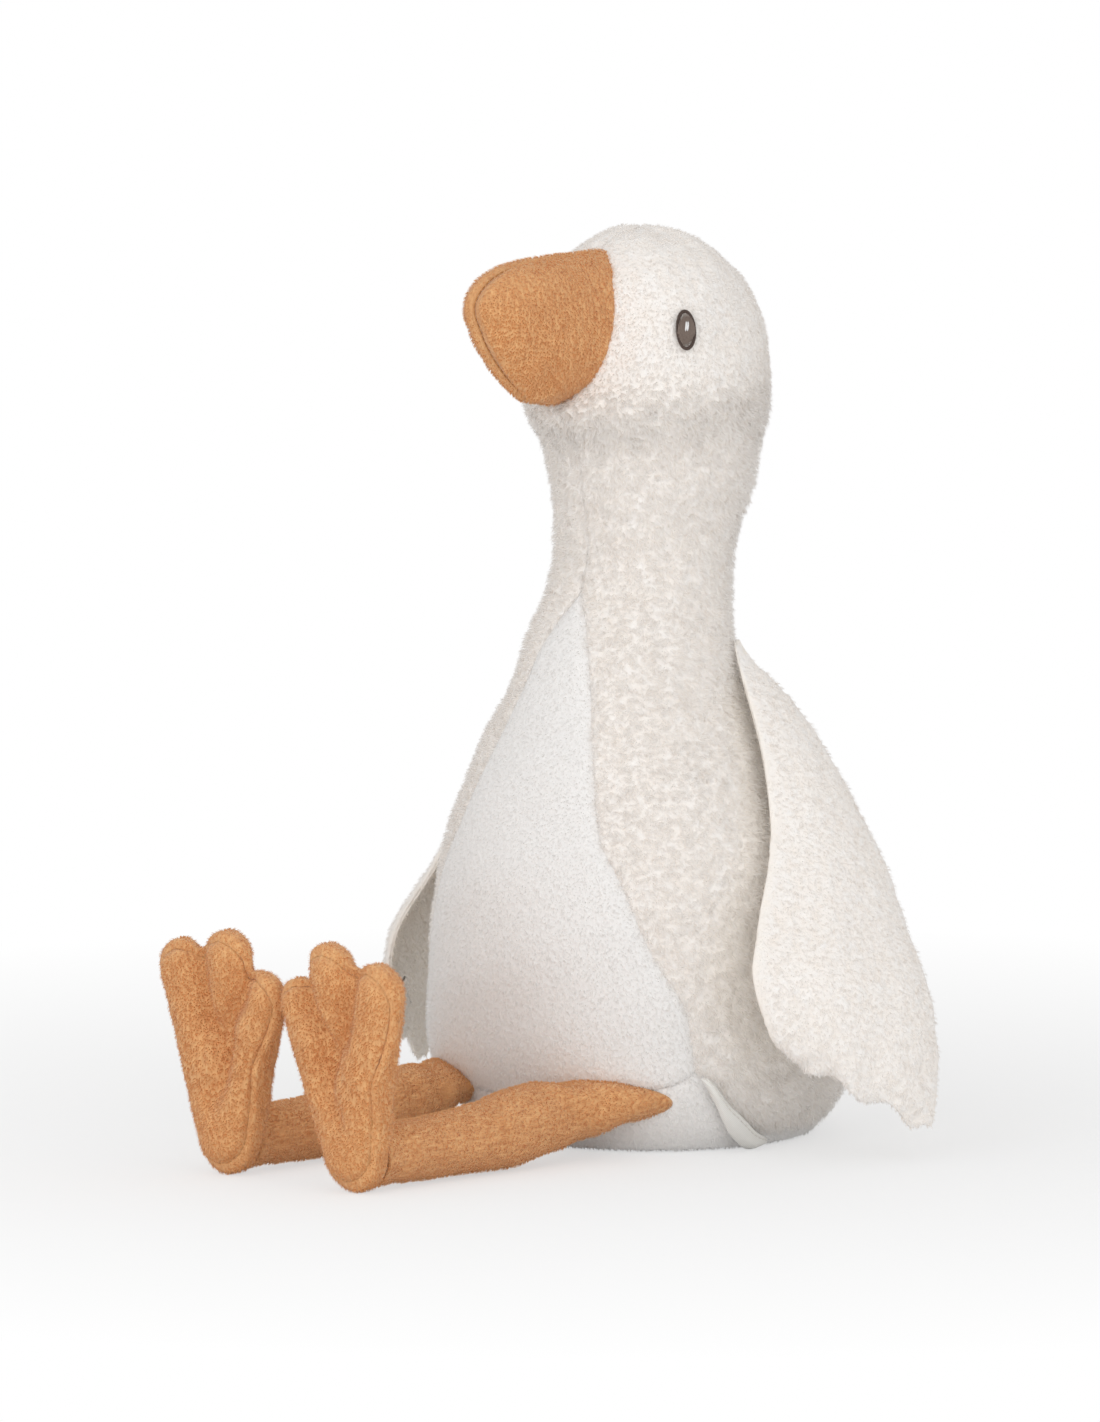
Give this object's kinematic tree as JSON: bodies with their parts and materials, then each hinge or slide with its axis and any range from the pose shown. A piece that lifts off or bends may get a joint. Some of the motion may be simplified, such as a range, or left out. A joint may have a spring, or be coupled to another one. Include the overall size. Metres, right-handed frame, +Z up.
{
  "type": "plush goose",
  "caption": "Seated soft toy goose with a stuffed velour beak, hanging wings, outstretched legs and upright webbed feet.",
  "frame": {"origin": "centre of the flat seat that the goose rests on", "axes": "+Z up along the neck to the crown; the goose looks along -Y with its legs out that way; +X is the goose's own left"},
  "size_m": [0.2202, 0.2311, 0.2785],
  "materials": {
    "long_pile": "curly off-white long pile",
    "short_pile": "smooth off-white short pile",
    "lining_pile": "smooth warm-white short pile",
    "velour": "brushed caramel velour",
    "stuffing": "loose polyester wadding",
    "eye_thread": "dark brown embroidery thread",
    "glint_thread": "white embroidery thread",
    "tape": "plain woven cotton tape, no print"
  },
  "bodies": {
    "root": {"side_panel_left": "long_pile", "side_panel_right": "long_pile", "back_panel": "long_pile", "belly_panel": "short_pile", "seat_panel": "short_pile", "body_filling": "stuffing", "beak_left": "velour", "beak_right": "velour", "beak_filling": "stuffing", "eye_left": "eye_thread", "eye_right": "eye_thread", "eye_glint_left": "glint_thread", "eye_glint_right": "glint_thread", "wing_outer_left": "long_pile", "wing_outer_right": "long_pile", "wing_lining_left": "lining_pile", "wing_lining_right": "lining_pile", "leg_left": "velour", "leg_right": "velour", "leg_filling_left": "stuffing", "leg_filling_right": "stuffing", "foot_sole_left": "velour", "foot_sole_right": "velour", "foot_upper_left": "velour", "foot_upper_right": "velour", "side_label": "tape"}
  },
  "joints": []
}
